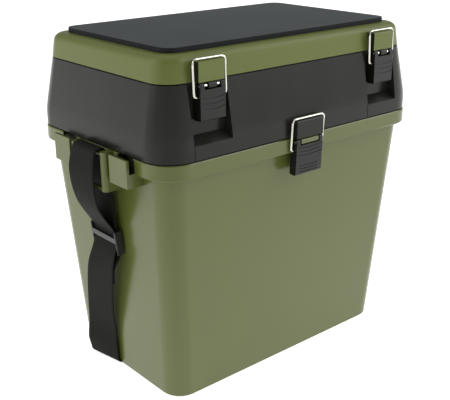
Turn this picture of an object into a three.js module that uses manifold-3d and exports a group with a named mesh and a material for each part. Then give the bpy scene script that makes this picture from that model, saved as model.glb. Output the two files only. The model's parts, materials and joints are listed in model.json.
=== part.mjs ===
// A fishing seat box: a tapered tub, a hinged tray on it, a hinged lid with a foam seat,
// three draw latches and a webbing carrying strap.
// Millimetres. X runs along the front, Y to the back, Z up, the origin is under the middle.
import * as THREE from "three";
import { mergeVertices } from "three/addons/utils/BufferGeometryUtils.js";
import Module from "manifold-3d";

const wasm = await Module();
wasm.setup();

// Walls and fits
const wall = 3;
const clearance = 0.3;
const overrun = 6;

// Tub: the moulded box that stands on the ground
const tubHeight = 288.4;
const baseWidth = 337;
const baseDepth = 201;
const baseCorner = 25;
const baseEdge = 2;
const baseRecess = 3.4;
const baseRib = 7;
const rimWidth = 390;
const rimDepth = 254.6;
const rimCorner = 34.6;
const rimBand = 16.6;
const rimInset = 9.3;
const rimEdge = 1;

// Tray: the flared middle section with its own floor
const trayHeight = 78.6;
const trayInset = 0.8;
const trayFlare = 10.9;
const traySkirt = 14;
const trayFlareSoftShare = 0.1;
const trayBendShares = [0, 0.1, 0.22, 0.4];
const trayTopCorner = 24.7;
const trayPlugDepth = 6;
const trayPlugWall = 2.5;
const trayPlugPlay = 1;
const edgeStepHeight = 1.1;
const edgeStepDepth = 1.2;

// Lid and seat pad
const lidHeight = 26.6;
const lidTaper = 3.4;
const lidFillet = 9;
const lidRibWall = 2;
const lidRibHeight = 7;
const lidRibSpacing = 84;
const padWidth = 331;
const padDepth = 197;
const padCorner = 26;
const padThickness = 5.6;
const padChamfer = 1.6;

// Recesses in the tray front that the two upper latches sit in
const latchInset = 52.9;
const recessWidth = 50.5;
const recessBack = 13.7;
const recessLedgeInner = 24.3;
const recessLedgeDrop = 8.2;
const seamWidth = 0.9;
const seamDepth = 0.6;

// Draw latches: two small ones hold the lid, a large one in front holds the tray
const leverPlate = 2.6;
const leverSide = 2.7;
const leverBottomEdge = 1.2;
const pinRadius = 1.6;
const pinHole = 1.9;
const wireRadius = 1.5;
const wireHole = 1.85;
const wireBend = 5;
const wireFootBend = 2.4;
const catchEdge = 1;
const gripDepth = 0.6;
const gripLine = 1.1;
const gripSag = 1.7;
const gripMargin = 1.6;
const gripCount = 3;
const gripSteps = 6;
const upperLatch = {
  leverWidth: 32.4,
  leverLength: 35.4,
  leverDepth: 12,
  leverToe: 0,
  leverToeDrop: 14,
  leverLean: 0,
  earRadius: 3.1,
  windowWidth: 21.4,
  windowDrop: 3.7,
  gripDrop: 12.4,
  gripPitch: 5.4,
  toeGripCount: 0,
  lugWidth: 10,
  bailWidth: 41,
  bailRise: 37.35,
  bailFootDrop: 11.2,
  bailFootIn: 1.6,
  bailLean: -0.04,
  catchWidth: 33.4,
  catchHeight: 20.4,
  catchFront: 8.5,
};
const frontLatch = {
  leverWidth: 40.4,
  leverLength: 38.2,
  leverDepth: 6.9,
  leverToe: 2.6,
  leverToeDrop: 14.5,
  leverLean: 0.05,
  earRadius: 3.1,
  windowWidth: 30.2,
  windowDrop: 3.7,
  gripDrop: 6.6,
  gripPitch: 4.3,
  toeGripCount: 3,
  toeGripRise: 4,
  toeGripPitch: 3.6,
  toeGripWidth: 27,
  lugWidth: 26,
  bailWidth: 48.6,
  bailRise: 35.8,
  bailFootDrop: 9.6,
  bailFootIn: 1.9,
  bailLean: 0.06,
  catchWidth: 40.4,
  catchHeight: 19.7,
  catchFront: 8.8,
};
const upperPivotBelowLid = 3.7;
const upperPivotFront = 7.4;
const frontPivotBelowTray = 4.5;
const frontPivotOut = 4.9;

// Rear hinges: knuckles moulded on the shells, with steel pins
const hingeInset = 73.3;
const knuckleRadius = 3.6;
const knuckleLength = 16;
const knuckleGap = 0.4;
const knuckleWeb = 9;
const hingeOut = 4.4;
const hingePinRadius = 1.6;
const hingePinHole = 1.9;

// Fittings on both ends: two open pockets and a strap lug between them
const fittingY = -5;
const pocketSpacing = 112;
const pocketWidth = 32.4;
const pocketHeight = 30;
const pocketStandoff = 10;
const pocketPlate = 3.2;
const pocketWeb = 2.8;
const pocketWebHeight = 15;
const lugGap = 47;
const lugPostWidth = 10;
const lugReach = 12.6;
const lugHeight = 43.5;
const lugBarRadius = 3;
const lugBarOut = 6.6;
const lugBarDrop = 3.2;
const lugFootBar = 3.4;

// Carrying strap and its two sliders
const strapWidth = 45;
const strapThickness = 1.6;
const strapPlay = 0.4;
const strapCrownOut = 9.6;
const strapBulge = 21;
const strapBulgeDrop = 26;
const strapHang = 15;
const strapHangDrop = 63;
const strapGroundLift = 0.8;
const strapFrontBend = 6.5;
const strapBackBend = 10;
const strapFrontFootOut = 4.2;
const strapBackFootOut = 14.7;
const strapFrontOut = 14.7;
const strapBackOut = 18.3;
const strapRunShares = [0.9, 0.76, 0.5, 0.32, 0.16];
const strapFrontShares = [1, 0.86, 0.62, 0.32, 0.28];
const strapBackShares = [1, 1, 0.85, 0.79, 0.9];
const strapKick = 6.6;
const strapTwist = 1.3;
const strapShift = 38;
const strapTailGap = 0.9;
const strapLead = 4;
const strapStationCount = 110;
const sliderDrop = 110.5;
const sliderShift = 2;
const sliderHeight = 28.5;
const sliderBar = 2.6;
const sliderBarHeight = 5;
const sliderCrossHeight = 7;
const sliderCrossRise = 3.2;
const sliderSide = 2.2;
const sliderWallGap = 2;
const sliderTilt = 0.06;
const strapNotchPlay = 3;

// Facets
const cornerSteps = 6;
const filletSteps = 4;
const roundSides = 14;
const wireSides = 8;
const wireSteps = 46;
const mergeTolerance = 1e-4;
const quarterTurn = Math.PI / 2;

// Places that follow from the sizes
const rimFace = rimWidth / 2;
const rimFront = rimDepth / 2;
const neckX = rimFace - rimInset;
const neckY = rimFront - rimInset;
const rimBottom = tubHeight - rimBand;
const trayBottomZ = tubHeight + clearance;
const lidBottomZ = trayHeight + clearance;
const trayX = rimFace - trayInset;
const trayY = rimFront - trayInset;
const trayTopX = trayX - trayFlare;
const trayTopY = trayY - trayFlare;
const recessBackY = trayY - recessBack + trayInset;
const latchX = trayTopX - latchInset;
const hingeX = trayTopX - hingeInset;
const lugBarX = rimFace + lugBarOut;
const lugBarZ = tubHeight - lugBarDrop;
const frontPivotY = -rimFront - frontPivotOut;
const frontPivotZ = trayBottomZ - frontPivotBelowTray;

// Half sizes of the tub's wall at a height
function tubHalf(z) {
  const share = z / rimBottom;
  return {
    x: baseWidth / 2 + (neckX - baseWidth / 2) * share,
    y: baseDepth / 2 + (neckY - baseDepth / 2) * share,
    corner: baseCorner + (rimCorner - rimInset - baseCorner) * share,
  };
}

// A rounded rectangle at height z, anticlockwise from above
function ring(halfX, halfY, corner, z) {
  const points = [];
  [[1, 1], [-1, 1], [-1, -1], [1, -1]].forEach(([sideX, sideY], quarter) => {
    for (let step = 0; step <= cornerSteps; step++) {
      const angle = (quarter + step / cornerSteps) * quarterTurn;
      const x = sideX * (halfX - corner) + corner * Math.cos(angle);
      const y = sideY * (halfY - corner) + corner * Math.sin(angle);
      points.push(new THREE.Vector3(x, y, z));
    }
  });
  return points;
}

// A closed skin through rings of equal point counts, with flat ends
function loft(rings) {
  const count = rings[0].length;
  const index = [];
  const last = (rings.length - 1) * count;
  for (let level = 0; level + 1 < rings.length; level++) {
    for (let i = 0; i < count; i++) {
      const a = level * count + i;
      const b = level * count + ((i + 1) % count);
      index.push(a, b, b + count, a, b + count, a + count);
    }
  }
  for (let i = 1; i + 1 < count; i++) {
    index.push(0, i + 1, i);
    index.push(last, last + i, last + i + 1);
  }
  const geometry = new THREE.BufferGeometry().setFromPoints(rings.flat());
  geometry.setIndex(index);
  return solid(geometry);
}

function solid(geometry) {
  const bare = new THREE.BufferGeometry();
  bare.setAttribute("position", geometry.getAttribute("position"));
  bare.setIndex(geometry.index);
  const merged = mergeVertices(bare, mergeTolerance);
  return new wasm.Manifold(
    new wasm.Mesh({
      numProp: 3,
      vertProperties: merged.attributes.position.array,
      triVerts: new Uint32Array(merged.index.array),
    }),
  );
}

function geometryOf(made) {
  const { numProp, vertProperties, triVerts } = made.getMesh();
  const geometry = new THREE.BufferGeometry();
  geometry.setAttribute("position", new THREE.BufferAttribute(vertProperties, numProp));
  geometry.setIndex(new THREE.BufferAttribute(triVerts, 1));
  const flat = geometry.toNonIndexed();
  flat.computeVertexNormals();
  return flat;
}

function join(...solids) {
  return solids.reduce((all, next) => all.add(next));
}

function cut(from, ...solids) {
  return solids.reduce((left, next) => left.subtract(next), from);
}

// A block between two corners
function block(x0, x1, y0, y1, z0, z1) {
  const geometry = new THREE.BoxGeometry(Math.abs(x1 - x0), Math.abs(y1 - y0), Math.abs(z1 - z0));
  geometry.translate((x0 + x1) / 2, (y0 + y1) / 2, (z0 + z1) / 2);
  return solid(geometry);
}

// A round bar along one axis about its middle
function rod(axis, radius, length, x, y, z) {
  const geometry = new THREE.CylinderGeometry(radius, radius, length, roundSides);
  if (axis === "x") geometry.rotateZ(quarterTurn);
  if (axis === "z") geometry.rotateX(quarterTurn);
  geometry.translate(x, y, z);
  return solid(geometry);
}

// A profile of [y, z] points pushed along X about the middle x
function prismX(profile, length, x) {
  const shape = new THREE.Shape(profile.map(([y, z]) => new THREE.Vector2(y, z)));
  const geometry = new THREE.ExtrudeGeometry(shape, { depth: length, bevelEnabled: false });
  geometry.applyMatrix4(
    new THREE.Matrix4().makeBasis(
      new THREE.Vector3(0, 1, 0),
      new THREE.Vector3(0, 0, 1),
      new THREE.Vector3(1, 0, 0),
    ),
  );
  geometry.translate(x - length / 2, 0, 0);
  return solid(geometry);
}

function named(name, made, material) {
  const mesh = new THREE.Mesh(geometryOf(made), material);
  mesh.name = name;
  return mesh;
}

const material = (color, roughness, metalness) =>
  new THREE.MeshStandardMaterial({ color, roughness, metalness });
const greenPlastic = material(0x788058, 0.38, 0);
const lidPlastic = material(0x6f7a4c, 0.42, 0);
const blackPlastic = material(0x3e3e3b, 0.42, 0);
const leverPlastic = material(0x464642, 0.5, 0);
const foam = material(0x3c3f3f, 0.95, 0);
const steel = material(0xd8d8cc, 0.22, 1);
const webbing = material(0x2d2d2a, 0.85, 0);
const sliderPlastic = material(0x55554f, 0.4, 0);

// One knuckle with the web that ties it to its wall. rise is 1 on the upper shell, -1 on the lower.
function knuckle(x, length, wallY, edgeZ, axisY, axisZ, rise) {
  const barrel = rod("x", knuckleRadius, length, x, axisY, axisZ);
  const web = [
    [wallY - wall / 2, edgeZ],
    [axisY, edgeZ],
    [axisY + knuckleRadius * Math.SQRT1_2, axisZ + rise * knuckleRadius * Math.SQRT1_2],
    [wallY - wall / 2, axisZ + rise * knuckleWeb],
  ];
  if (rise > 0) web.reverse();
  return join(barrel, prismX(web.reverse(), length, x));
}

// The knuckles of one hinge line: two outer ones on the lower shell, one middle one on the upper
function knuckles(which, wallY, edgeZ, axisY, axisZ) {
  const shift = knuckleLength + knuckleGap;
  const made = [];
  for (const side of [-1, 1]) {
    const middle = side * hingeX;
    if (which === "upper") {
      made.push(knuckle(middle, knuckleLength, wallY, edgeZ, axisY, axisZ, 1));
    } else {
      made.push(knuckle(middle - shift, knuckleLength, wallY, edgeZ, axisY, axisZ, -1));
      made.push(knuckle(middle + shift, knuckleLength, wallY, edgeZ, axisY, axisZ, -1));
    }
  }
  return join(...made);
}

function hingeBores(axisY, axisZ) {
  const length = 3 * knuckleLength + 2 * overrun;
  return join(
    rod("x", hingePinHole, length, -hingeX, axisY, axisZ),
    rod("x", hingePinHole, length, hingeX, axisY, axisZ),
  );
}

function hingePin(name, side, axisY, axisZ) {
  const pin = new THREE.CylinderGeometry(
    hingePinRadius,
    hingePinRadius,
    3 * knuckleLength + 2 * knuckleGap,
    roundSides,
  );
  pin.rotateZ(quarterTurn);
  const mesh = new THREE.Mesh(pin, steel);
  mesh.name = name;
  mesh.position.set(side * hingeX, axisY, axisZ);
  return mesh;
}

// The lug that carries a latch pin, in the latch's own frame, reaching back into its wall
function latchLug(latch, reach) {
  const radius = latch.windowDrop - clearance;
  const tongue = block(-latch.lugWidth / 2, latch.lugWidth / 2, 0, reach, -radius, radius);
  return join(rod("x", radius, latch.lugWidth, 0, 0, 0), tongue);
}

function latchBore(latch) {
  return rod("x", pinHole, latch.leverWidth, 0, 0, 0);
}

// A shallow grip line across a lever's front, at height z, sagging in its middle
function gripGroove(width, sag, z, front) {
  const shape = new THREE.Shape();
  const along = (step) => width * (step / gripSteps - 1 / 2);
  const dip = (step) => sag * ((2 * step) / gripSteps - 1) ** 2 - sag;
  shape.moveTo(along(0), dip(0));
  for (let step = 1; step <= gripSteps; step++) shape.lineTo(along(step), dip(step));
  for (let step = gripSteps; step >= 0; step--) shape.lineTo(along(step), dip(step) - gripLine);
  const groove = new THREE.ExtrudeGeometry(shape, { depth: gripDepth + overrun, bevelEnabled: false });
  groove.rotateX(quarterTurn);
  groove.translate(0, front + gripDepth, z);
  return solid(groove);
}

function gripGrooves(latch, front) {
  const grooves = [];
  for (let i = 0; i < gripCount; i++) {
    const z = -latch.gripDrop - i * latch.gripPitch;
    grooves.push(gripGroove(latch.leverWidth - 2 * gripMargin, gripSag, z + gripSag, front));
  }
  for (let i = 0; i < latch.toeGripCount; i++) {
    const z = latch.toeGripRise + i * latch.toeGripPitch - latch.leverLength;
    grooves.push(gripGroove(latch.toeGripWidth, 0, z, front));
  }
  return grooves;
}

// A channel-section lever with two ears; its pivot is at the origin and it hangs down
function lever(latch) {
  const front = -latch.earRadius;
  const back = latch.leverDepth - latch.earRadius;
  const bottom = -latch.leverLength;
  const outline = [];
  for (let step = 0; step <= cornerSteps; step++) {
    const angle = Math.PI * (step / cornerSteps);
    outline.push([latch.earRadius * Math.cos(angle), latch.earRadius * Math.sin(angle)]);
  }
  outline.push([front, bottom + leverBottomEdge]);
  outline.push([front + leverBottomEdge, bottom]);
  outline.push([back + latch.leverToe - leverBottomEdge, bottom]);
  outline.push([back + latch.leverToe, bottom + leverBottomEdge]);
  if (latch.leverToe > 0) {
    outline.push([back + latch.leverToe, -latch.leverToeDrop - latch.leverToe]);
    outline.push([back, -latch.leverToeDrop]);
  }
  outline.push([back, -latch.earRadius]);
  const inside = latch.leverWidth / 2 - leverSide;
  const window = latch.windowWidth / 2;
  const channel = block(
    -inside, inside, front + leverPlate, back + overrun, bottom + leverPlate, latch.earRadius + overrun,
  );
  const notch = block(-window, window, front - overrun, back, -latch.windowDrop, overrun);
  const footHoles = rod(
    "x", wireHole, latch.leverWidth + overrun, 0, latch.bailFootIn, -latch.bailFootDrop,
  );
  const pinBore = rod("x", pinHole, latch.leverWidth + overrun, 0, 0, 0);
  const plain = prismX(outline, latch.leverWidth, 0);
  return cut(plain, channel, notch, pinBore, footHoles, ...gripGrooves(latch, front));
}

// A path of straight runs with rounded corners
function roundedPath(points, radii) {
  const path = new THREE.CurvePath();
  let from = points[0];
  for (let i = 1; i + 1 < points.length; i++) {
    const before = points[i].clone().sub(points[i - 1]).normalize();
    const after = points[i + 1].clone().sub(points[i]).normalize();
    const start = points[i].clone().addScaledVector(before, -radii[i - 1]);
    const end = points[i].clone().addScaledVector(after, radii[i - 1]);
    path.add(new THREE.LineCurve3(from, start));
    path.add(new THREE.QuadraticBezierCurve3(start, points[i], end));
    from = end;
  }
  path.add(new THREE.LineCurve3(from, points[points.length - 1]));
  return path;
}

// The wire bail stands on its two bent-in feet; the feet are at the origin
function bail(latch) {
  const half = latch.bailWidth / 2;
  const foot = latch.leverWidth / 2 - leverSide - wireRadius;
  const points = [
    [-foot, 0],
    [-half, 0],
    [-half, latch.bailRise],
    [half, latch.bailRise],
    [half, 0],
    [foot, 0],
  ].map(([x, z]) => new THREE.Vector3(x, 0, z));
  const path = roundedPath(points, [wireFootBend, wireBend, wireBend, wireFootBend]);
  const circle = [];
  for (let i = 0; i < wireSides; i++) {
    const angle = (2 * Math.PI * i) / wireSides;
    circle.push(new THREE.Vector2(wireRadius * Math.cos(angle), wireRadius * Math.sin(angle)));
  }
  return solid(
    new THREE.ExtrudeGeometry(new THREE.Shape(circle), {
      steps: wireSteps,
      extrudePath: path,
      bevelEnabled: false,
    }),
  );
}

// A catch block that stands out of a front wall, from z upward
function catchBlock(latch, wallY, z) {
  const front = wallY - latch.catchFront;
  const back = wallY + wall;
  const top = z + latch.catchHeight;
  return [
    [back, z],
    [back, top],
    [front + catchEdge, top],
    [front, top - catchEdge],
    [front, z],
  ];
}

function latchGroup(name, latch, x, y, z) {
  const group = new THREE.Group();
  group.position.set(x, y, z);
  const rodlet = new THREE.CylinderGeometry(pinRadius, pinRadius, latch.leverWidth, roundSides);
  const pin = new THREE.Mesh(rodlet.rotateZ(quarterTurn), steel);
  pin.name = "latch_pin_" + name;
  const wire = named("latch_bail_" + name, bail(latch), steel);
  const handle = named("latch_lever_" + name, lever(latch), leverPlastic);
  handle.rotation.x = latch.leverLean;
  wire.position.set(0, latch.bailFootIn, -latch.bailFootDrop).applyEuler(handle.rotation);
  wire.rotation.x = latch.bailLean;
  group.add(handle, pin, wire);
  return group;
}

// The room cut out of the rim behind the plates of the pockets, down to the tub's wall
function pocketRooms() {
  const wallX = tubHalf(tubHeight).x;
  const plateX = rimFace + pocketStandoff - pocketPlate;
  const low = tubHeight - pocketHeight + pocketWeb;
  const half = pocketWidth / 2 - pocketWeb;
  const rooms = [];
  for (const side of [-1, 1]) {
    for (const end of [-1, 1]) {
      const y = fittingY + (end * pocketSpacing) / 2;
      rooms.push(block(side * wallX, side * plateX, y - half, y + half, low, tubHeight + overrun));
    }
  }
  return rooms;
}

// Pockets and strap lug on one end; side is -1 on the left, 1 on the right
function endFittings(side) {
  const outer = rimFace + pocketStandoff;
  const inner = outer - pocketPlate;
  const low = tubHeight - pocketHeight;
  const root = tubHalf(low).x - wall / 2;
  const made = [];
  for (const end of [-1, 1]) {
    const y = fittingY + (end * pocketSpacing) / 2;
    const y0 = y - pocketWidth / 2;
    const y1 = y + pocketWidth / 2;
    made.push(block(side * inner, side * outer, y0, y1, low, tubHeight));
    made.push(block(side * root, side * inner, y0, y0 + pocketWeb, low, low + pocketWebHeight));
    made.push(block(side * root, side * inner, y1 - pocketWeb, y1, low, low + pocketWebHeight));
    made.push(block(side * root, side * inner, y0, y1, low, low + pocketWeb));
  }
  const lugLow = tubHeight - lugHeight;
  const lugRoot = tubHalf(lugLow).x - wall / 2;
  const nose = rimFace + lugReach - lugPostWidth / 2;
  for (const end of [-1, 1]) {
    const y = fittingY + (end * (lugGap + lugPostWidth)) / 2;
    const y0 = y - lugPostWidth / 2;
    made.push(block(side * lugRoot, side * nose, y0, y0 + lugPostWidth, lugLow, tubHeight));
    made.push(rod("z", lugPostWidth / 2, lugHeight, side * nose, y, tubHeight - lugHeight / 2));
  }
  const barLength = lugGap + lugPostWidth;
  made.push(rod("y", lugBarRadius, barLength, side * lugBarX, fittingY, lugBarZ));
  const footOuter = rimFace + lugReach - lugFootBar / 2;
  const footInner = footOuter - lugFootBar;
  const y0 = fittingY - barLength / 2;
  const y1 = fittingY + barLength / 2;
  made.push(block(side * footInner, side * footOuter, y0, y1, lugLow, lugLow + lugFootBar));
  return join(...made);
}

function tub() {
  const base = tubHalf(0);
  const top = tubHalf(tubHeight);
  const shell = loft([
    ring(base.x - baseEdge, base.y - baseEdge, base.corner - baseEdge, 0),
    ring(tubHalf(baseEdge).x, tubHalf(baseEdge).y, base.corner, baseEdge),
    ring(top.x, top.y, top.corner, tubHeight),
  ]);
  const rim = loft([
    ring(rimFace - rimEdge, rimFront - rimEdge, rimCorner - rimEdge, rimBottom),
    ring(rimFace, rimFront, rimCorner, rimBottom + rimEdge),
    ring(rimFace, rimFront, rimCorner, tubHeight - rimEdge),
    ring(rimFace - rimEdge, rimFront - rimEdge, rimCorner - rimEdge, tubHeight),
  ]);
  const underRim = loft([
    ring(rimFace - wall, rimFront - wall, rimCorner - wall, rimBottom - overrun),
    ring(rimFace - wall, rimFront - wall, rimCorner - wall, tubHeight - wall),
  ]);
  const floor = baseRecess + wall;
  const low = tubHalf(floor);
  const high = tubHalf(tubHeight + overrun);
  const inside = loft([
    ring(low.x - wall - baseEdge, low.y - wall - baseEdge, low.corner - wall - baseEdge, floor),
    ring(low.x - wall, low.y - wall, low.corner - wall, floor + baseEdge),
    ring(high.x - wall, high.y - wall, high.corner - wall, tubHeight + overrun),
  ]);
  const recess = loft([
    ring(base.x - baseRib, base.y - baseRib, base.corner - baseRib, -overrun),
    ring(base.x - baseRib, base.y - baseRib, base.corner - baseRib, baseRecess),
  ]);
  const half = strapWidth / 2 + strapNotchPlay;
  const notchY = fittingY + strapShift;
  const notch = block(-rimFace, rimFace, notchY - half, notchY + half, -overrun, baseRecess);
  const axisY = rimFront + hingeOut;
  const axisZ = tubHeight + clearance / 2;
  const lug = latchLug(frontLatch, frontPivotOut + wall).translate([0, frontPivotY, frontPivotZ]);
  const lugHole = latchBore(frontLatch).translate([0, frontPivotY, frontPivotZ]);
  const outside = join(
    cut(rim, underRim),
    shell,
    endFittings(-1),
    endFittings(1),
    knuckles("lower", rimFront, tubHeight, axisY, axisZ),
    lug,
  );
  const bores = hingeBores(axisY, axisZ);
  return cut(outside, inside, recess, notch, bores, lugHole, ...pocketRooms());
}

// How far the tray's wall has drawn in at a height: straight skirt, soft bend, even flare
function trayDraw(z) {
  const soft = trayFlareSoftShare;
  const share = Math.max(0, (z - traySkirt) / (trayHeight - traySkirt));
  return (trayFlare * (Math.hypot(share, soft) - soft)) / (Math.hypot(1, soft) - soft);
}

function trayRing(inset, z) {
  const draw = trayDraw(z);
  const corner = rimCorner - trayInset + ((trayTopCorner - rimCorner + trayInset) * draw) / trayFlare;
  return ring(trayX - draw - inset, trayY - draw - inset, corner - inset, z);
}

function trayRings(inset, bottom, top) {
  const levels = trayBendShares.map((share) => traySkirt + share * (trayHeight - traySkirt));
  return [bottom, ...levels, trayHeight, top].filter((z, i, all) => i === 0 || z > all[i - 1])
    .map((z) => trayRing(inset, Math.min(z, top)));
}

// A narrow step around the tray between two heights, which leaves a shadow line at the joint
function edgeStep(low, high) {
  const around = loft([trayRing(-overrun, low), trayRing(-overrun, high)]);
  const core = [trayRing(edgeStepDepth, low - overrun), trayRing(edgeStepDepth, high + overrun)];
  return cut(around, loft(core));
}

// The wedge that is taken out of the flared front for an upper latch, grown by a margin
function recessWedge(x, margin) {
  const ledgeSlope = recessLedgeDrop / (recessBack - trayInset);
  const back = -recessBackY + margin;
  const front = -trayY - overrun;
  const ledge = recessLedgeInner - margin;
  const profile = [
    [back, ledge],
    [back, trayHeight + overrun],
    [front, trayHeight + overrun],
    [front, ledge + (front - back) * ledgeSlope],
  ];
  return prismX(profile.reverse(), recessWidth + 2 * margin, x);
}

function tray() {
  const shell = loft(trayRings(0, 0, trayHeight));
  const inside = loft([
    trayRing(wall, wall),
    ...trayRings(wall, traySkirt, trayHeight).slice(0, -1),
    trayRing(wall, trayHeight),
    trayRing(wall, trayHeight).map((p) => p.clone().setZ(trayHeight + overrun)),
  ]);
  const plugTop = tubHalf(tubHeight);
  const plug = (inset) => {
    const x = plugTop.x - wall - trayPlugPlay - inset;
    const y = plugTop.y - wall - trayPlugPlay - inset;
    const corner = plugTop.corner - wall - trayPlugPlay - inset;
    return loft([ring(x, y, corner, -trayPlugDepth), ring(x, y, corner, wall / 2)]);
  };
  const plugInside = plug(trayPlugWall).translate([0, 0, -wall / 2]);
  const sides = [-latchX, latchX];
  const pockets = sides.map((x) => recessWedge(x, 0));
  const pocketWalls = sides.map((x) => recessWedge(x, wall));
  const room = cut(inside, ...pocketWalls);
  const lidAxisY = trayTopY + hingeOut;
  const lidAxisZ = trayHeight + clearance / 2;
  const tubAxisY = rimFront + hingeOut;
  const tubAxisZ = -clearance / 2;
  const pivotY = -trayTopY - upperPivotFront;
  const pivotZ = lidBottomZ - upperPivotBelowLid;
  const lugs = sides.map((x) =>
    latchLug(upperLatch, upperPivotFront + wall).translate([x, pivotY, pivotZ]),
  );
  const bores = sides.map((x) => latchBore(upperLatch).translate([x, pivotY, pivotZ]));
  const catchProfile = catchBlock(frontLatch, -trayY, 0);
  const ledgeFront = recessLedgeInner - recessLedgeDrop;
  const seams = sides.map((x) => {
    const edge = x - recessWidth / 2;
    return block(edge, edge + seamWidth, -trayY - overrun, -trayY + seamDepth, -overrun, ledgeFront);
  });
  const steps = [
    edgeStep(-overrun, edgeStepHeight),
    edgeStep(trayHeight - edgeStepHeight, trayHeight + overrun),
  ];
  const outside = join(
    cut(shell, ...pockets, ...seams, ...steps),
    knuckles("lower", trayTopY, trayHeight, lidAxisY, lidAxisZ),
    knuckles("upper", trayY, 0, tubAxisY, tubAxisZ),
    ...lugs,
    prismX(catchProfile, frontLatch.catchWidth, 0),
  );
  const hingeHoles = [hingeBores(lidAxisY, lidAxisZ), hingeBores(tubAxisY, tubAxisZ)];
  const hollow = cut(outside, room, ...hingeHoles, ...bores);
  return join(hollow, cut(plug(0), plugInside));
}

function lidRing(inset, z) {
  const straight = lidHeight - lidFillet;
  const share = Math.min(z, straight) / lidHeight;
  const rise = Math.max(0, z - straight);
  const draw = lidTaper * share + lidFillet - Math.sqrt(Math.max(0, lidFillet ** 2 - rise ** 2));
  const corner = trayTopCorner - Math.min(draw, lidFillet) / 2;
  return ring(trayTopX - draw - inset, trayTopY - draw - inset, corner - inset, z);
}

function lidRings(inset, top) {
  const levels = [0, lidHeight - lidFillet];
  for (let step = 1; step <= filletSteps; step++) {
    levels.push(lidHeight - lidFillet + lidFillet * Math.sin((step / filletSteps) * quarterTurn));
  }
  return levels.map((z) => {
    const points = lidRing(inset, z);
    return points.map((p) => p.setZ(z * (top / lidHeight)));
  });
}

function lid() {
  const shell = loft(lidRings(0, lidHeight));
  const inside = loft([
    lidRing(wall, 0).map((p) => p.clone().setZ(-overrun)),
    ...lidRings(wall, lidHeight - wall),
  ]);
  const roof = lidHeight - wall;
  const half = lidRibWall / 2;
  const low = roof - lidRibHeight;
  const high = roof + wall / 2;
  const ribs = [-1, 0, 1].map((side) => {
    const x = side * lidRibSpacing;
    return block(x - half, x + half, -trayTopY, trayTopY, low, high).intersect(shell);
  });
  const spine = block(-trayTopX, trayTopX, -half, half, low, high);
  const axisY = trayTopY + hingeOut;
  const axisZ = -clearance / 2;
  const catches = [-1, 1].map((side) =>
    prismX(catchBlock(upperLatch, -trayTopY, 0), upperLatch.catchWidth, side * latchX),
  );
  const outside = join(shell, knuckles("upper", trayTopY, 0, axisY, axisZ), ...catches);
  return join(cut(outside, inside, hingeBores(axisY, axisZ)), ...ribs, spine.intersect(shell));
}

// A flat foam pad with rounded corners and a chamfered upper edge
function seatPad() {
  const x = padWidth / 2;
  const y = padDepth / 2;
  return loft([
    ring(x, y, padCorner, 0),
    ring(x, y, padCorner, padThickness - padChamfer),
    ring(x - padChamfer, y - padChamfer, padCorner - padChamfer, padThickness),
  ]);
}

// Where the slider stands on an end: near the wall, leaning out at its top, with the strap's
// two layers through it
const sliderHalf = sliderHeight / 2;
const sliderZ = tubHeight - sliderDrop;
const sliderHigh = sliderZ + sliderHalf;
const sliderY = fittingY + sliderShift;
const sliderBack = sliderBar + strapThickness + (3 / 2) * strapPlay;
const sliderX = tubHalf(sliderZ).x + sliderWallGap + sliderBack;
const sliderLean = sliderTilt + Math.atan2(neckX - baseWidth / 2, rimBottom);
const crossLow = sliderCrossRise - sliderCrossHeight / 2;
const crossHigh = sliderCrossRise + sliderCrossHeight / 2;
const layerOut = (strapThickness + strapPlay) / 2;
const runTop = sliderZ - sliderHalf - strapLead;

// A place [x, z] at the slider, so far out of its middle and so far up along it
function atSlider(out, up) {
  const x = sliderX + out * Math.cos(sliderLean) + up * Math.sin(sliderLean);
  return [x, sliderZ - out * Math.sin(sliderLean) + up * Math.cos(sliderLean)];
}

// How far along Y the strap's middle lies at a height: it drifts to the back below the slider
function strapY(z) {
  const below = Math.max(0, 1 - z / runTop);
  const above = Math.min(1, Math.max(0, (z - sliderHigh) / (lugBarZ - sliderHigh)));
  const drift = (strapShift - sliderShift) * Math.sin(below * quarterTurn);
  return sliderY + drift - sliderShift * above;
}

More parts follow.
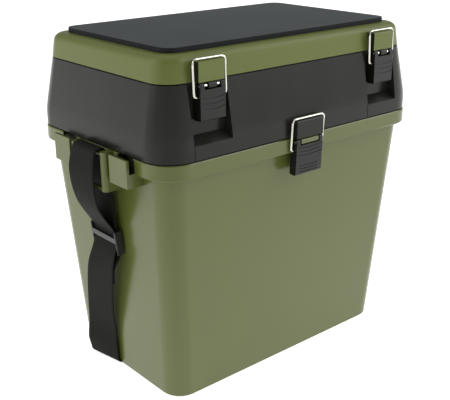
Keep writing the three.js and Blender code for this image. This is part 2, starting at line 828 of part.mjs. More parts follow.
// The path of the strap's front (-1) or back (1) edge on one end, from its free tail over the
// lug bar, down through the slider and to the ground
function strapEndRoute(side, edge) {
  const wrap = lugBarRadius + strapPlay + strapThickness / 2;
  const ground = strapGroundLift + strapThickness / 2;
  const bend = edge > 0 ? strapBackBend : strapFrontBend;
  const footOut = edge > 0 ? strapBackFootOut : strapFrontFootOut;
  const runOut = edge > 0 ? strapBackOut : strapFrontOut;
  const runShares = edge > 0 ? strapBackShares : strapFrontShares;
  const run = strapRunShares.map((share, i) => {
    const z = runTop * share;
    return [tubHalf(z).x + runOut * runShares[i], z];
  });
  const bendX = tubHalf(0).x + footOut;
  const twist = edge * strapTwist;
  const tail = [run[1], run[0]].map(([x, z]) => [x - strapThickness - strapTailGap, z]);
  const points = [
    ...tail,
    atSlider(-layerOut, -sliderHalf),
    atSlider(-layerOut, strapLead - sliderHalf),
    atSlider(-layerOut, sliderHalf),
    atSlider(-layerOut, sliderHalf + strapLead),
    [(sliderX + lugBarX - wrap) / 2, (sliderZ + lugBarZ) / 2],
    [lugBarX - wrap, lugBarZ - wrap],
  ];
  for (let step = 0; step <= cornerSteps; step++) {
    const angle = Math.PI * (1 - step / cornerSteps);
    const reach = Math.cos(angle) > 0 ? strapCrownOut : wrap;
    points.push([lugBarX + reach * Math.cos(angle), lugBarZ + wrap * Math.sin(angle)]);
  }
  points.push([rimFace + strapBulge + twist - strapThickness / 2, tubHeight - strapBulgeDrop]);
  points.push([rimFace + strapHang, tubHeight - strapHangDrop]);
  points.push(atSlider(layerOut, crossHigh + strapLead));
  points.push(atSlider(layerOut, crossHigh));
  points.push(atSlider(layerOut, sliderCrossRise));
  points.push(atSlider(layerOut, crossLow));
  points.push(atSlider(layerOut + strapKick, -sliderHalf));
  points.push(...run);
  for (let step = 0; step <= cornerSteps; step++) {
    const angle = (step / cornerSteps) * quarterTurn;
    points.push([bendX - bend * (1 - Math.cos(angle)), ground + bend * (1 - Math.sin(angle))]);
  }
  points.push([bendX - bend - strapLead, ground]);
  return points.map(([x, z]) => {
    return new THREE.Vector3(side * x, strapY(z) + (edge * strapWidth) / 2, z);
  });
}

// One edge of the whole strap: left end, under the tub, right end
function strapEdge(edge) {
  const left = strapEndRoute(-1, edge);
  const right = strapEndRoute(1, edge).reverse();
  const middle = left[left.length - 1].clone().lerp(right[0], 1 / 2);
  const curve = new THREE.CatmullRomCurve3([...left, middle, ...right], false, "centripetal");
  return curve.getPoints(strapStationCount * 2);
}

// The webbing between its two edges
function strap() {
  const front = strapEdge(-1);
  const back = strapEdge(1);
  const middles = front.map((point, i) => point.clone().lerp(back[i], 1 / 2));
  const rings = middles.map((middle, i) => {
    const before = middles[Math.max(0, i - 1)];
    const after = middles[Math.min(middles.length - 1, i + 1)];
    const along = after.clone().sub(before);
    const across = back[i].clone().sub(front[i]);
    const up = new THREE.Vector3().crossVectors(along, across).setLength(strapThickness / 2);
    return [
      front[i].clone().sub(up),
      back[i].clone().sub(up),
      back[i].clone().add(up),
      front[i].clone().add(up),
    ];
  });
  return loft(rings);
}

// A three-bar slider about its own middle: two bars behind the webbing, one in front
function slider(side) {
  const room = strapWidth / 2 + strapPlay;
  const face = side * sliderBack;
  const inner = face - side * sliderBar;
  const made = [];
  for (const end of [-1, 1]) {
    const y = end * room;
    made.push(block(-face, face, y, y + end * sliderSide, -sliderHalf, sliderHalf));
  }
  const reach = room + sliderSide / 2;
  for (const z of [-sliderHalf, sliderHalf - sliderBarHeight]) {
    made.push(block(-face, -inner, -reach, reach, z, z + sliderBarHeight));
  }
  made.push(block(inner, face, -reach, reach, crossLow, crossHigh));
  return join(...made);
}

// Assembly
const box = new THREE.Group();
const trayGroup = new THREE.Group();
const lidGroup = new THREE.Group();
trayGroup.position.z = trayBottomZ;
lidGroup.position.z = lidBottomZ;
box.add(trayGroup);
trayGroup.add(lidGroup);

box.add(named("tub", tub(), greenPlastic));
trayGroup.add(named("tray", tray(), blackPlastic));
lidGroup.add(named("lid", lid(), lidPlastic));
const pad = named("seat_pad", seatPad(), foam);
pad.position.z = lidHeight;
lidGroup.add(pad);

const trayAxis = [rimFront + hingeOut, tubHeight + clearance / 2];
const lidAxis = [trayTopY + hingeOut, trayHeight + clearance / 2];
const upperPivot = [-trayTopY - upperPivotFront, lidBottomZ - upperPivotBelowLid];
for (const [name, side] of [["left", -1], ["right", 1]]) {
  box.add(hingePin("tray_hinge_pin_" + name, side, ...trayAxis));
  trayGroup.add(hingePin("lid_hinge_pin_" + name, side, ...lidAxis));
  trayGroup.add(latchGroup(name, upperLatch, side * latchX, ...upperPivot));
  const buckle = named("strap_slider_" + name, slider(side), sliderPlastic);
  buckle.position.set(side * sliderX, sliderY, sliderZ);
  buckle.rotation.y = side * sliderLean;
  box.add(buckle);
}
box.add(latchGroup("front", frontLatch, 0, frontPivotY, frontPivotZ));
box.add(named("shoulder_strap", strap(), webbing));

export default box;
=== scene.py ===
"""The looks of a moulded fishing seat box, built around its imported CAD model."""

import json
import math

import bmesh
import bpy
from mathutils import Matrix, Vector

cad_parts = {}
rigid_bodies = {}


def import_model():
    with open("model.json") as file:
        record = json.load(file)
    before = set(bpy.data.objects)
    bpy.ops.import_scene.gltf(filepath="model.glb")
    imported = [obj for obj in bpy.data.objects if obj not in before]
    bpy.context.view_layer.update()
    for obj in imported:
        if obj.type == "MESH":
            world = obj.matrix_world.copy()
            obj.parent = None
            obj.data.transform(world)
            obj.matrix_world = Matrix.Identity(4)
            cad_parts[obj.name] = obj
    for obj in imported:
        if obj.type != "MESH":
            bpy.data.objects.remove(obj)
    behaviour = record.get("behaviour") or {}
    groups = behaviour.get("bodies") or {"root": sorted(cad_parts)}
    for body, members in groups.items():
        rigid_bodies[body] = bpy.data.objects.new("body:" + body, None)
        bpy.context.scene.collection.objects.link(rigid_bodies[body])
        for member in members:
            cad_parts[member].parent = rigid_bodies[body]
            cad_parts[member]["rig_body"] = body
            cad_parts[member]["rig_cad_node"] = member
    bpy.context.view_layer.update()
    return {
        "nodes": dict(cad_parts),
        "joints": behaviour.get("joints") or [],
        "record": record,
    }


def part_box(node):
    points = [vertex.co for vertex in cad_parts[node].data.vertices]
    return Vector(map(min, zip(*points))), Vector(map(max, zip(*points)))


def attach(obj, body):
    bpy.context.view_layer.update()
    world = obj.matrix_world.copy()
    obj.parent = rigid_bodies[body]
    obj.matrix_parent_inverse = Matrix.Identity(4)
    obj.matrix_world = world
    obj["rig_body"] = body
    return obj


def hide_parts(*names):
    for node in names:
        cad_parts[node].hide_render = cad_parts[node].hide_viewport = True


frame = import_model()

MM = 0.001
mounts = {mount["name"]: Vector(mount["pos_m"]) for mount in frame["record"]["mounts"]}
hinges = {joint["name"]: Vector(joint["pos_m"]) for joint in frame["joints"]}

# Camera, fitted to the photograph
CAMERA_PLACE = (-0.6353, -0.7411, 0.5391)
CAMERA_YAW = 0.7009
CAMERA_PITCH = -0.3565
CAMERA_ROLL = -0.0070
CAMERA_FOCAL_SHARE = 819.7 / 450
CAMERA_SEES = (0.05, 50.0)
SENSOR_WIDTH = 36.0


def camera():
    data = bpy.data.cameras.new("camera")
    data.sensor_width = SENSOR_WIDTH
    data.lens = CAMERA_FOCAL_SHARE * SENSOR_WIDTH
    data.clip_start, data.clip_end = CAMERA_SEES
    made = bpy.data.objects.new("camera", data)
    bpy.context.scene.collection.objects.link(made)
    level = math.cos(CAMERA_PITCH)
    ahead = Vector((math.sin(CAMERA_YAW) * level, math.cos(CAMERA_YAW) * level, math.sin(CAMERA_PITCH)))
    right = Vector((math.cos(CAMERA_YAW), -math.sin(CAMERA_YAW), 0))
    up = right.cross(ahead)
    turned_right = right * math.cos(CAMERA_ROLL) + up * math.sin(CAMERA_ROLL)
    turned_up = up * math.cos(CAMERA_ROLL) - right * math.sin(CAMERA_ROLL)
    axes = Matrix((turned_right, turned_up, -ahead)).transposed()
    made.matrix_world = Matrix.Translation(CAMERA_PLACE) @ axes.to_4x4()
    bpy.context.scene.camera = made


camera()


# Shader maths
class Value:
    """A shader socket that Python's operators can work on."""

    def __init__(self, nodes, socket):
        self.nodes = nodes
        self.socket = socket

    def _math(self, operation, first, second):
        return self.nodes.add("ShaderNodeMath", {"operation": operation}, {0: first, 1: second})

    def __add__(self, other):
        return self._math("ADD", self, other)

    __radd__ = __add__

    def __sub__(self, other):
        return self._math("SUBTRACT", self, other)

    def __rsub__(self, other):
        return self._math("SUBTRACT", other, self)

    def __mul__(self, other):
        return self._math("MULTIPLY", self, other)

    __rmul__ = __mul__

    def __truediv__(self, other):
        return self._math("DIVIDE", self, other)

    def __gt__(self, other):
        return self._math("GREATER_THAN", self, other)

    def __lt__(self, other):
        return self._math("LESS_THAN", self, other)

    def __mod__(self, other):
        return self._math("FLOORED_MODULO", self, other)

    def sine(self):
        return self._math("SINE", self, 0.0)

    def size(self):
        return self._math("ABSOLUTE", self, 0.0)


class Nodes:
    """A node tree that grows one node at a time."""

    def __init__(self, tree):
        self.tree = tree

    def add(self, kind, settings, sockets, out=0):
        node = self.tree.nodes.new(kind)
        for name, value in settings.items():
            if name == "stops":
                self._stops(node.color_ramp, value)
            else:
                setattr(node, name, value)
        for name, value in sockets.items():
            if isinstance(value, Value):
                self.tree.links.new(value.socket, node.inputs[name])
            else:
                node.inputs[name].default_value = value
        return Value(self, node.outputs[out])

    def _stops(self, ramp, stops):
        while len(ramp.elements) < len(stops):
            ramp.elements.new(0.5)
        for element, (position, colour) in zip(ramp.elements, stops):
            element.position = position
            element.color = colour

    def axes(self, where):
        split = self.add("ShaderNodeSeparateXYZ", {}, {0: where})
        return tuple(Value(self, output) for output in split.socket.node.outputs)


class Finish(Nodes):
    """A procedural material on the Principled shader."""

    def __init__(self, name, **constants):
        self.material = bpy.data.materials.new(name)
        self.material.use_nodes = True
        super().__init__(self.material.node_tree)
        self.shader = next(n for n in self.tree.nodes if n.type == "BSDF_PRINCIPLED")
        for socket, value in constants.items():
            self.shader.inputs[socket.replace("_", " ")].default_value = value
        self.place = self.add("ShaderNodeTexCoord", {}, {}, "Object")

    def feed(self, socket, value):
        self.tree.links.new(value.socket, self.shader.inputs[socket])

    def stretched(self, x, y, z):
        return self.add("ShaderNodeMapping", {}, {"Vector": self.place, "Scale": (x, y, z)})

    def noise(self, scale, detail=2.0, roughness=0.5, where=None):
        sockets = {"Vector": where or self.place, "Scale": scale, "Detail": detail, "Roughness": roughness}
        return self.add("ShaderNodeTexNoise", {}, sockets)

    def mix(self, share, low, high):
        sockets = {0: share, 6: low, 7: high}
        return self.add("ShaderNodeMix", {"data_type": "RGBA"}, sockets, 2)

    def bump(self, height, strength, distance):
        sockets = {"Height": height, "Strength": strength, "Distance": distance}
        self.feed("Normal", self.add("ShaderNodeBump", {}, sockets))


def tint(colour, gain):
    return tuple(c * gain for c in colour) + (1.0,)


# Colours
GREEN = (0.098, 0.117, 0.024)
LID_GREEN = (0.125, 0.148, 0.036)
DARK = (0.018, 0.018, 0.015)
LEVER = (0.006, 0.006, 0.005)
SLIDER = (0.012, 0.012, 0.011)
FOAM = (0.058, 0.065, 0.067)
# Painted shade on the side walls of the lid's catch blocks
CATCH_SIDE_SHADE = (0.016, 0.019, 0.008)
# Painted shade for the dark line in the tray's steps
SEAM_SHADE = (0.004, 0.004, 0.003)
# Painted shade inside the slots behind the pocket plates
POCKET_SHADE = (0.022, 0.025, 0.012)
STEEL_DULL = (0.56, 0.55, 0.48)
STEEL_BRIGHT = (0.80, 0.79, 0.70)
YARN_DEEP = (0.003, 0.003, 0.0026)
YARN_HIGH = (0.017, 0.017, 0.0145)

# The slots behind the pocket plates on both ends of the tub, from the plates' outer faces
POCKET_PLATE = 3 * MM
POCKET_DEPTH = 22 * MM
POCKET_HALF = 16 * MM
POCKET_BELOW = 11.4 * MM
POCKET_ABOVE = 14.7 * MM


def in_pockets(finish):
    """A mask of the slots, which get a painted shade."""
    front, back = mounts["pocket_left_front"], mounts["pocket_left_back"]
    middle = (back.y + front.y) / 2
    spread = (back.y - front.y) / 2
    x, y, z = finish.axes(finish.place)
    inwards = abs(front.x) - x.size()
    deep = (inwards > POCKET_PLATE) * (inwards < POCKET_DEPTH)
    aside = ((y - middle).size() - spread).size() < POCKET_HALF
    return deep * aside * (z > front.z - POCKET_BELOW) * (z < front.z + POCKET_ABOVE)


# Moulded plastic: the scales of its marks, and how much they stir the gloss
DRIFT_SCALE = 7.0
FLOW_SCALE = 30.0
FLOW_STRETCH = 0.16
FLOW_SHARE = 0.6
FLOW_GLOSS = 0.05
SPARK_SCALE = 1500.0
SPARK_DEPTH = 0.2 * MM


def moulded_plastic(name, colour, roughness, grain, drift, shine, pockets=False):
    """Satin injection-moulded plastic: fine spark grain, upright flow marks, slow drift of colour, and if
    asked a painted shade in the tub's pocket slots.
    """
    finish = Finish(name, Specular_IOR_Level=shine)
    slow = finish.noise(DRIFT_SCALE, detail=3.0, roughness=0.55)
    flow = finish.noise(FLOW_SCALE, where=finish.stretched(1.0, 1.0, FLOW_STRETCH))
    shade = (1 - FLOW_SHARE) * slow + FLOW_SHARE * flow
    coat = finish.mix(shade, tint(colour, 1 - drift), tint(colour, 1 + drift))
    # Painted shade: the slots behind the pocket plates are darkened
    if pockets:
        coat = finish.mix(in_pockets(finish), coat, tint(POCKET_SHADE, 1))
    finish.feed("Base Color", coat)
    finish.feed("Roughness", roughness + FLOW_GLOSS * flow)
    finish.bump(finish.noise(SPARK_SCALE, roughness=0.6), grain, SPARK_DEPTH)
    return finish.material


# Plated steel wire
STREAK_SCALE = 260.0
WIRE_ROUGHNESS = (0.12, 0.08)
WIRE_GRAIN_SCALE = 900.0
WIRE_GRAIN = 0.08
WIRE_GRAIN_DEPTH = 0.3 * MM


def steel_wire(name):
    """Bright plated wire with faint drawing streaks."""
    finish = Finish(name, Metallic=1.0)
    streak = finish.noise(STREAK_SCALE)
    finish.feed("Base Color", finish.mix(streak, tint(STEEL_DULL, 1), tint(STEEL_BRIGHT, 1)))
    finish.feed("Roughness", WIRE_ROUGHNESS[0] + WIRE_ROUGHNESS[1] * streak)
    finish.bump(finish.noise(WIRE_GRAIN_SCALE), WIRE_GRAIN, WIRE_GRAIN_DEPTH)
    return finish.material


# Closed-cell foam
PORE_SCALE = 1300.0
PORE_SHARE = 0.7
PORE_DEPTH = 0.4 * MM
PORE_GRAIN = 0.5
FOAM_PATCH_SCALE = 12.0
FOAM_ROUGHNESS = (0.78, 0.15)
FOAM_SHINE = 0.3


def seat_foam(name, dark, pale):
    """Closed-cell foam sheet: a matte skin of tiny pores, between two shades."""
    finish = Finish(name, Specular_IOR_Level=FOAM_SHINE)
    pores = finish.noise(PORE_SCALE, detail=3.0, roughness=0.7)
    shade = PORE_SHARE * pores + (1 - PORE_SHARE) * finish.noise(FOAM_PATCH_SCALE)
    finish.feed("Base Color", finish.mix(shade, tint(FOAM, dark), tint(FOAM, pale)))
    finish.feed("Roughness", FOAM_ROUGHNESS[0] + FOAM_ROUGHNESS[1] * pores)
    finish.bump(pores, PORE_GRAIN, PORE_DEPTH)
    return finish.material


# Webbing
WALE_WIDTH = 9.0 * MM
RIB_PITCH = 1.7 * MM
RIB_SLANT = 4.0
RIB_HEIGHT = 0.35
WALE_HEIGHT = 0.15
WEAVE_DEPTH = 0.3 * MM
WEAVE_GRAIN = 0.6
FUZZ_SCALE = 2200.0
FUZZ_SHARE = 0.2
WEBBING_ROUGHNESS = (0.55, 0.3)
WEBBING_SHINE = 0.1
TURN = 2 * math.pi


def webbing(name):
    """Woven polyester webbing: a herringbone that follows the strap's own length and width."""
    finish = Finish(name, Specular_IOR_Level=WEBBING_SHINE)
    across, along, _ = finish.axes(finish.add("ShaderNodeTexCoord", {}, {}, "UV"))
    chevron = ((across / WALE_WIDTH) % 1.0 - 0.5).size()
    wales = (chevron * TURN).sine()
    ribs = ((along / RIB_PITCH + chevron * RIB_SLANT) * TURN).sine()
    weave = 0.5 + RIB_HEIGHT * ribs + WALE_HEIGHT * wales
    fuzz = finish.noise(FUZZ_SCALE)
    shade = (1 - FUZZ_SHARE) * weave + FUZZ_SHARE * fuzz
    finish.feed("Base Color", finish.mix(shade, tint(YARN_DEEP, 1), tint(YARN_HIGH, 1)))
    finish.feed("Roughness", WEBBING_ROUGHNESS[0] + WEBBING_ROUGHNESS[1] * fuzz)
    finish.bump(weave, WEAVE_GRAIN, WEAVE_DEPTH)
    return finish.material


tub_plastic = moulded_plastic("tub_plastic", GREEN, 0.21, grain=0.08, drift=0.05, shine=0.52, pockets=True)
lid_plastic = moulded_plastic("lid_plastic", LID_GREEN, 0.33, grain=0.08, drift=0.05, shine=0.25)
tray_plastic = moulded_plastic("tray_plastic", DARK, 0.21, grain=0.08, drift=0.3, shine=0.2)
lever_plastic = moulded_plastic("lever_plastic", LEVER, 0.34, grain=0.12, drift=0.15, shine=0.34)
# Painted shade: a dark copy of the plastic for the catch blocks' side walls
catch_side_shade = moulded_plastic("catch_side_shade", CATCH_SIDE_SHADE, 0.5, grain=0.05, drift=0.1, shine=0.15)
seam_shadow = moulded_plastic("seam_shadow", SEAM_SHADE, 0.6, grain=0.05, drift=0.1, shine=0.1)
slider_plastic = moulded_plastic("slider_plastic", SLIDER, 0.29, grain=0.10, drift=0.08, shine=0.5)
wire = steel_wire("steel_wire")
foam = seat_foam("seat_foam", dark=0.55, pale=1.45)
foam_cut = seat_foam("foam_cut", dark=0.1, pale=0.3)
strap_webbing = webbing("strap_webbing")


# Modelling helpers
def only(piece):
    if bpy.context.object and bpy.context.object.mode != "OBJECT":
        bpy.ops.object.mode_set(mode="OBJECT")
    bpy.ops.object.select_all(action="DESELECT")
    piece.select_set(True)
    bpy.context.view_layer.objects.active = piece


def settle(piece):
    """Puts a piece's place into its mesh."""
    only(piece)
    bpy.ops.object.transform_apply(location=True, rotation=True, scale=True)


def smooth(piece, angle):
    only(piece)
    bpy.ops.object.shade_smooth_by_angle(angle=math.radians(angle))


def applied(piece, kind, **settings):
    only(piece)
    modifier = piece.modifiers.new(kind.lower(), kind)
    for name, value in settings.items():
        setattr(modifier, name, value)
    bpy.ops.object.modifier_apply(modifier=modifier.name)


def rounded(piece, width, steps, angle):
    """Rounds the edges that are sharper than an angle."""
    limit = math.radians(angle)
    applied(piece, "BEVEL", width=width, segments=steps, limit_method="ANGLE", angle_limit=limit)


def choose_edges(piece, test):
    """Selects the edges that pass a test, in edit mode."""
    only(piece)
    bpy.ops.object.mode_set(mode="EDIT")
    bpy.ops.mesh.select_mode(type="EDGE")
    bpy.ops.mesh.select_all(action="DESELECT")
    mesh = bmesh.from_edit_mesh(piece.data)
    for edge in mesh.edges:
        edge.select = test(edge)
    mesh.select_flush_mode()
    bmesh.update_edit_mesh(piece.data)


def second_finish(piece, finish, test):
    """Gives the faces that pass a test another material."""
    piece.data.materials.append(finish)
    for face in piece.data.polygons:
        if test(face):
            face.material_index = 1


def finished(piece, finish, body, node):
    piece.data.materials.clear()
    piece.data.materials.append(finish)
    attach(piece, body)
    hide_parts(node)


# How close points are one point, and the angles in degrees that count as flat and as sharp
WELD = 0.02 * MM
FLAT_ANGLE = 0.6
SHARP_ANGLE = 30
FACE_WEIGHT = 80
EDGE_STEPS = 2


def skin(node, name, finish, edge=0.0, steps=EDGE_STEPS, slimmer=0.0):
    """A finished copy of a CAD node: triangles merged, flat faces made whole, sharp edges rounded."""
    source = frame["nodes"][node]
    body = source["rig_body"]
    only(source)
    bpy.ops.object.duplicate()
    piece = bpy.context.object
    bpy.ops.object.parent_clear(type="CLEAR_KEEP_TRANSFORM")
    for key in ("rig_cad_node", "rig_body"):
        del piece[key]
    piece.name = name
    piece.data.name = name
    bpy.ops.object.mode_set(mode="EDIT")
    bpy.ops.mesh.select_all(action="SELECT")
    bpy.ops.mesh.remove_doubles(threshold=WELD)
    bpy.ops.mesh.dissolve_limited(angle_limit=math.radians(FLAT_ANGLE))
    if slimmer:
        bpy.ops.transform.shrink_fatten(value=-slimmer)
    bpy.ops.object.mode_set(mode="OBJECT")
    if edge:
        rounded(piece, edge, steps, SHARP_ANGLE)
    smooth(piece, SHARP_ANGLE)
    applied(piece, "WEIGHTED_NORMAL", keep_sharp=True, weight=FACE_WEIGHT)
    finished(piece, finish, body, node)
    return piece


# Moulded shells
TUB_EDGE = 0.6 * MM
TRAY_EDGE = 0.3 * MM
LID_EDGE = 0.5 * MM

skin("tub", "tub_shell", tub_plastic, TUB_EDGE)
tray = skin("tray", "tray_shell", tray_plastic, TRAY_EDGE)
lid = skin("lid", "lid_shell", lid_plastic, LID_EDGE)

# The narrow steps at the tray's lower and upper edge, from the heights where it meets its neighbours
SEAM_HEIGHT = 1.35 * MM
SEAM_PLAY = 0.05 * MM

# The two catch blocks above the upper latches, which stand out of the lid's front wall
CATCH_HALF = 16.7 * MM
CATCH_WALL = -112.5 * MM
CATCH_PLAY = 0.4 * MM

# How much of a face's normal points along an axis when the face is upright, or turned sideways
UPRIGHT = 0.5
SIDEWAYS = 0.9


def in_seam(face):
    """The tray's steps, where a painted shade draws a dark line."""
    heights = [tray.data.vertices[v].co.z for v in face.vertices]
    low, high = min(heights), max(heights)
    foot, crown = hinges["tray_hinge"].z, hinges["lid_hinge"].z
    at_foot = foot - SEAM_PLAY < low and high < foot + SEAM_HEIGHT
    at_crown = crown - SEAM_HEIGHT < low and high < crown + SEAM_PLAY
    return (at_foot or at_crown) and abs(face.normal.z) < UPRIGHT


def beside_catch(face):
    """The side walls of the lid's catches, which get a painted shade for the deep shade behind the wire
    bails.
    """
    from_middle = abs(abs(face.center.x) - hinges["lever_right_hinge"].x)
    at_side = abs(from_middle - CATCH_HALF) < CATCH_PLAY
    return at_side and face.center.y < CATCH_WALL and abs(face.normal.x) > SIDEWAYS


# Painted shade: a dark line on the tray's steps and dark side walls on the lid's catches
second_finish(tray, seam_shadow, in_seam)
second_finish(lid, catch_side_shade, beside_catch)

# Latches, hinge pins and strap sliders
LEVER_EDGE = 0.35 * MM
PIN_EDGE = 0.2 * MM
SLIDER_EDGE = 0.7 * MM
SLIDER_EDGE_STEPS = 3
WIRE_SLIMMER = 0.25 * MM

for place in ("left", "right", "front"):
    skin("latch_lever_" + place, "lever_" + place, lever_plastic, LEVER_EDGE)
    skin("latch_bail_" + place, "bail_" + place, wire, slimmer=WIRE_SLIMMER)
    skin("latch_pin_" + place, "lever_pin_" + place, wire, PIN_EDGE)
for place in ("left", "right"):
    skin("lid_hinge_pin_" + place, "lid_pin_" + place, wire, PIN_EDGE)
    skin("tray_hinge_pin_" + place, "tray_pin_" + place, wire, PIN_EDGE)
    skin(
        "strap_slider_" + place, "slider_" + place, slider_plastic,
        SLIDER_EDGE, SLIDER_EDGE_STEPS,
    )

# Seat pad
PAD_CORNER = 14 * MM
PAD_CORNER_STEPS = 12
PAD_EDGE = 0.7 * MM
PAD_EDGE_STEPS = 3
PAD_SMOOTH_ANGLE = 40
NEARLY = 0.1 * MM


def seat_pad():
    """A sheet of foam with rounded corners, a softened upper edge and cut sides."""
    low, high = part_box("seat_pad")
    bpy.ops.mesh.primitive_cube_add(size=1, location=(low + high) / 2, scale=high - low)
    piece = bpy.context.object
    piece.name = "foam_pad"
    settle(piece)
    choose_edges(piece, lambda edge: abs(edge.verts[0].co.z - edge.verts[1].co.z) > NEARLY)
    bpy.ops.mesh.bevel(offset=PAD_CORNER, segments=PAD_CORNER_STEPS)
    choose_edges(piece, lambda edge: min(v.co.z for v in edge.verts) > high.z - NEARLY)
    bpy.ops.mesh.bevel(offset=PAD_EDGE, segments=PAD_EDGE_STEPS)
    bpy.ops.object.mode_set(mode="OBJECT")
    smooth(piece, PAD_SMOOTH_ANGLE)
    finished(piece, foam, "lid", "seat_pad")
    second_finish(piece, foam_cut, lambda face: abs(face.normal.z) < UPRIGHT)


seat_pad()

# Carrying strap: the route of its front (-1) and back (1) edge, in millimetres out, up and back
WALL_FOOT = 168.5
WALL_NECK = 185.7
NECK_HEIGHT = 271.8
FITTING_Y = -5.0
STRAP_WIDTH = 45.0
STRAP_THICKNESS = 1.6
STRAP_EDGE = 0.5
LAYER_OUT = 1.0
LEAD = 4.0
SLIDER_UP = 177.9
SLIDER_HALF = 14.25
SLIDER_STANDOFF = 6.8
SLIDER_TILT = 0.06
CROSSBAR = (-0.3, 3.2, 6.7)
RUN_TOP = SLIDER_UP - SLIDER_HALF - LEAD
SLIDER_HIGH = SLIDER_UP + SLIDER_HALF
LUG_BAR = (201.6, 285.2)
LUG_WRAP = 4.2
CROWN_OUT = 9.6
CROWN_UP = 5.4
BULGE = (215.2, 262.4)
BULGE_TWIST = 1.3
HANG = (210.0, 225.4)
KICK = 6.6
RUN_SHARES = (0.9, 0.76, 0.5, 0.32, 0.16)
RUN_OUT = {-1: 14.7, 1: 18.3}
RUN_OUT_SHARES = {-1: (1, 0.86, 0.62, 0.32, 0.28), 1: (1, 1, 0.85, 0.79, 0.9)}
FOOT_OUT = {-1: 4.2, 1: 14.7}
FOOT_BEND = {-1: 6.5, 1: 10.0}
GROUND = 1.6
TAIL_GAP = 2.5
DRIFT_AT_SLIDER = 2.0
DRIFT_AT_FOOT = 38.0
ARC_STEPS = 6
STRAP_STEP = 3.0
STRAP_COLUMNS = 10
STRAP_EDGE_ANGLE = 60
STRAP_SMOOTH_ANGLE = 50


def wall_out(z):
    return WALL_FOOT + (WALL_NECK - WALL_FOOT) * z / NECK_HEIGHT


SLIDER_OUT = wall_out(SLIDER_UP) + SLIDER_STANDOFF
SLIDER_LEAN = SLIDER_TILT + math.atan2(WALL_NECK - WALL_FOOT, NECK_HEIGHT)


def at_slider(out, up):
    """A place at the leaning slider, so far out of its middle and so far up along it."""
    x = SLIDER_OUT + out * math.cos(SLIDER_LEAN) + up * math.sin(SLIDER_LEAN)
    return x, SLIDER_UP - out * math.sin(SLIDER_LEAN) + up * math.cos(SLIDER_LEAN)


def strap_y(z):
    """How far along Y the strap's middle lies at a height: it drifts back below the slider."""
    below = max(0.0, 1 - z / RUN_TOP)
    above = min(1.0, max(0.0, (z - SLIDER_HIGH) / (LUG_BAR[1] - SLIDER_HIGH)))
    drift = (DRIFT_AT_FOOT - DRIFT_AT_SLIDER) * math.sin(below * math.pi / 2)
    return FITTING_Y + DRIFT_AT_SLIDER + drift - DRIFT_AT_SLIDER * above


def end_route(side, edge):
    """From the free tail over the lug bar, down through the slider and under the tub."""
    run = []
    for share, out_share in zip(RUN_SHARES, RUN_OUT_SHARES[edge]):
        z = RUN_TOP * share
        run.append((wall_out(z) + RUN_OUT[edge] * out_share, z))
    points = [(x - TAIL_GAP, z) for x, z in (run[1], run[0])]
    for up in (-SLIDER_HALF, LEAD - SLIDER_HALF, SLIDER_HALF, SLIDER_HALF + LEAD):
        points.append(at_slider(-LAYER_OUT, up))
    points.append(((SLIDER_OUT + LUG_BAR[0] - LUG_WRAP) / 2, (SLIDER_UP + LUG_BAR[1]) / 2))
    points.append((LUG_BAR[0] - LUG_WRAP, LUG_BAR[1] - LUG_WRAP))
    for step in range(ARC_STEPS + 1):
        angle = math.pi * (1 - step / ARC_STEPS)
        reach = CROWN_OUT if math.cos(angle) > 0 else LUG_WRAP
        points.append((LUG_BAR[0] + reach * math.cos(angle), LUG_BAR[1] + CROWN_UP * math.sin(angle)))
    points.append((BULGE[0] + edge * BULGE_TWIST, BULGE[1]))
    points.append(HANG)
    for up in (CROSSBAR[2] + LEAD, CROSSBAR[2], CROSSBAR[1], CROSSBAR[0]):
        points.append(at_slider(LAYER_OUT, up))
    points.append(at_slider(LAYER_OUT + KICK, -SLIDER_HALF))
    points += run
    bend = FOOT_BEND[edge]
    foot = WALL_FOOT + FOOT_OUT[edge]
    for step in range(ARC_STEPS + 1):
        angle = step / ARC_STEPS * math.pi / 2
        points.append((foot - bend * (1 - math.cos(angle)), GROUND + bend * (1 - math.sin(angle))))
    points.append((foot - bend - LEAD, GROUND))
    return [Vector((side * x, strap_y(z) + edge * STRAP_WIDTH / 2, z)) for x, z in points]


def smooth_run(points, counts):
    """A smooth line through the points, with a number of steps for each stretch."""
    ends = [2 * points[0] - points[1]] + points + [2 * points[-1] - points[-2]]
    line = []
    for i, count in enumerate(counts):
        a, b, c, d = ends[i : i + 4]
        before, here, after = (math.sqrt((q - p).length) for p, q in ((a, b), (b, c), (c, d)))
        leave = (b - a) / before - (c - a) / (before + here) + (c - b) / here
        arrive = (c - b) / here - (d - b) / (here + after) + (d - c) / after
        leave, arrive = leave * here, arrive * here
        for step in range(count):
            t = step / count
            bend = (-3 * b + 3 * c - 2 * leave - arrive) * t * t
            line.append(b + leave * t + bend + (2 * b - 2 * c + leave + arrive) * t * t * t)
    line.append(points[-1].copy())
    return line


def strap_edges():
    """The strap's front and back edge from the left end, under the tub, to the right end."""
    edges = {}
    for edge in (-1, 1):
        left = end_route(-1, edge)
        right = end_route(1, edge)[::-1]
        edges[edge] = left + [(left[-1] + right[0]) / 2] + right
    middles = [(a + b) / 2 for a, b in zip(edges[-1], edges[1])]
    counts = [max(2, round((q - p).length / STRAP_STEP)) for p, q in zip(middles, middles[1:])]
    return smooth_run(edges[-1], counts), smooth_run(edges[1], counts)


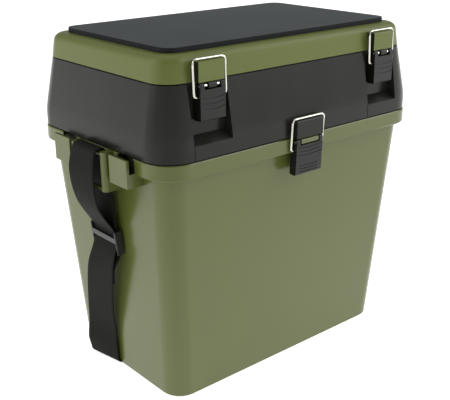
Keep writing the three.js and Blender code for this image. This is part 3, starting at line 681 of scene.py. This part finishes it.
def carrying_strap():
    """A grid laid between the two edges, given its thickness; its UV map is in metres."""
    front, back = strap_edges()
    bpy.ops.mesh.primitive_grid_add(
        x_subdivisions=len(front) - 1, y_subdivisions=STRAP_COLUMNS, size=1, calc_uvs=True
    )
    piece = bpy.context.object
    piece.name = "strap"
    length = sum((q - p).length for p, q in zip(front, front[1:])) * MM
    for corner in piece.data.uv_layers.active.data:
        corner.uv = (corner.uv[1] * STRAP_WIDTH * MM, corner.uv[0] * length)
    for vertex in piece.data.vertices:
        station = round((vertex.co.x + 0.5) * (len(front) - 1))
        share = vertex.co.y + 0.5
        vertex.co = front[station].lerp(back[station], share) * MM
    applied(piece, "SOLIDIFY", thickness=STRAP_THICKNESS * MM, offset=0.0)
    rounded(piece, STRAP_EDGE * MM, EDGE_STEPS, STRAP_EDGE_ANGLE)
    smooth(piece, STRAP_SMOOTH_ANGLE)
    finished(piece, strap_webbing, "tub", "shoulder_strap")
    print("strap length m", round(length, 3))


carrying_strap()

# Floor: white paper that glows, with a soft shade on the side that the photograph was taken from
FLOOR_SIZE = 120.0
PAPER = 0.9
PAPER_ROUGHNESS = 0.8
GLOW_BESIDE = 0.8
GLOW_NEAR = 0.5
GLOW_FAR = 0.95
BESIDE_REACH = (0.2, 0.8)
NEAR_REACH = (1.3, 3.5)
MIDDLE = (0.0, 0.0, 0.0)
SHADE_MIDDLE = (-1.08, -1.57, 0.0)
SHADE_REACH = (0.3, 1.8)
SHADE_GLOW = 0.2
SHADE_PAPER = 0.8

# Sky: how white it is at each rise above the horizon, which is 1 straight up
SKY = ((0.0, 1.0), (0.1, 1.0), (0.24, 0.08), (0.7, 0.45))

# Soft boxes: name, place, what they aim at, side length in metres, and watts
LAMPS = (
    ("overhead", (0.2, 0.2, 2.2), (0, 0, 0.3), 2.0, 4),
    ("left", (-1.9, 1.1, 1.6), (0, 0, 0.2), 2.2, 26),
    ("right", (2.1, -1.5, 1.8), (0, 0, 0.2), 2.5, 50),
)


def grey(level):
    return (level, level, level, 1.0)


def falloff(finish, middle, reach):
    """A share that rises from 0 to 1 between two distances from a place on the floor."""
    away = finish.add("ShaderNodeVectorMath", {"operation": "DISTANCE"}, {0: finish.place, 1: middle}, 1)
    sockets = {"Value": away, "From Min": reach[0], "From Max": reach[1]}
    return finish.add("ShaderNodeMapRange", {"interpolation_type": "SMOOTHSTEP"}, sockets)


def stage():
    bpy.ops.mesh.primitive_plane_add(size=FLOOR_SIZE, location=MIDDLE)
    floor = bpy.context.object
    floor.name = "floor"
    finish = Finish("floor_paper", Roughness=PAPER_ROUGHNESS, Emission_Strength=1.0)
    lit = falloff(finish, SHADE_MIDDLE, SHADE_REACH)
    glow = finish.mix(falloff(finish, MIDDLE, BESIDE_REACH), grey(GLOW_BESIDE), grey(GLOW_NEAR))
    glow = finish.mix(falloff(finish, MIDDLE, NEAR_REACH), glow, grey(GLOW_FAR))
    finish.feed("Emission Color", finish.mix(lit, grey(SHADE_GLOW), glow))
    finish.feed("Base Color", finish.mix(lit, grey(SHADE_PAPER), grey(PAPER)))
    floor.data.materials.append(finish.material)


def soft_box(name, place, aim, side, power):
    data = bpy.data.lights.new(name, "AREA")
    data.shape = "SQUARE"
    data.size = side
    data.energy = power
    made = bpy.data.objects.new(name, data)
    bpy.context.scene.collection.objects.link(made)
    made.location = place
    made.rotation_euler = (Vector(aim) - Vector(place)).to_track_quat("-Z", "Y").to_euler()


def light():
    """Soft boxes above and on both sides, under a sky that is white all round the horizon."""
    bpy.context.scene.view_settings.view_transform = "Standard"
    world = bpy.data.worlds.new("studio")
    bpy.context.scene.world = world
    world.use_nodes = True
    studio = Nodes(world.node_tree)
    rise = studio.axes(studio.add("ShaderNodeTexCoord", {}, {}, "Generated"))[2]
    stops = [(height, grey(level)) for height, level in SKY]
    sky = studio.add("ShaderNodeValToRGB", {"stops": stops}, {0: rise})
    background = world.node_tree.nodes["Background"]
    world.node_tree.links.new(sky.socket, background.inputs["Color"])
    background.inputs["Strength"].default_value = 1.0
    for lamp in LAMPS:
        soft_box(*lamp)


stage()
light()
